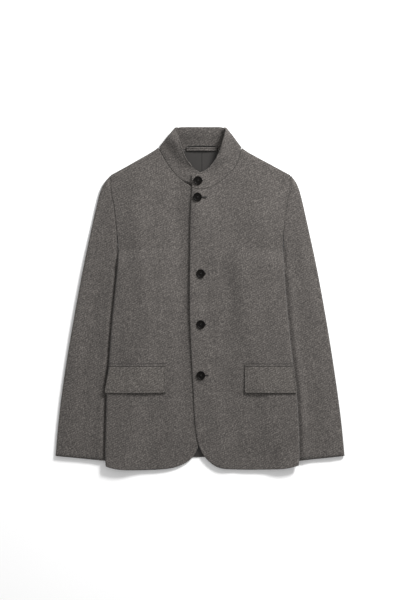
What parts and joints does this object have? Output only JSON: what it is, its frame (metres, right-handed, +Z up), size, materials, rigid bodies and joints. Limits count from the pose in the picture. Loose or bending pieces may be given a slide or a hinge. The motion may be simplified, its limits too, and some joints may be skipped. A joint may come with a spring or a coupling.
{
  "type": "overshirt",
  "caption": "Wool overshirt jacket laid flat: stand collar with a buttoned tab, closed front, two flap pockets, cut-away hem.",
  "frame": {"origin": "on the surface it lies on, under the middle of the garment", "axes": "+Z up from the surface, +Y towards the collar, +X towards the wearer's left"},
  "size_m": [0.666, 0.789, 0.025],
  "materials": {
    "wool": "brushed wool flannel, grey-brown melange, matt with a soft nap",
    "wool_flap": "the same wool flannel, a little lighter where the flaps face the light",
    "lining": "smooth dark grey-brown twill lining",
    "horn": "near-black horn-like polyester, satin"
  },
  "bodies": {
    "root": {"back": "wool", "front_right": "wool", "front_left": "wool", "top_sleeve_right": "wool", "under_sleeve_right": "wool", "top_sleeve_left": "wool", "under_sleeve_left": "wool", "collar": "wool", "hanger_loop": "wool", "jet_right": "wool", "jet_left": "wool", "flap_right": "wool_flap", "flap_left": "wool_flap", "lining_right": "lining", "lining_left": "lining", "button_1": "horn", "button_2": "horn", "button_3": "horn", "button_4": "horn", "button_5": "horn"}
  },
  "joints": []
}
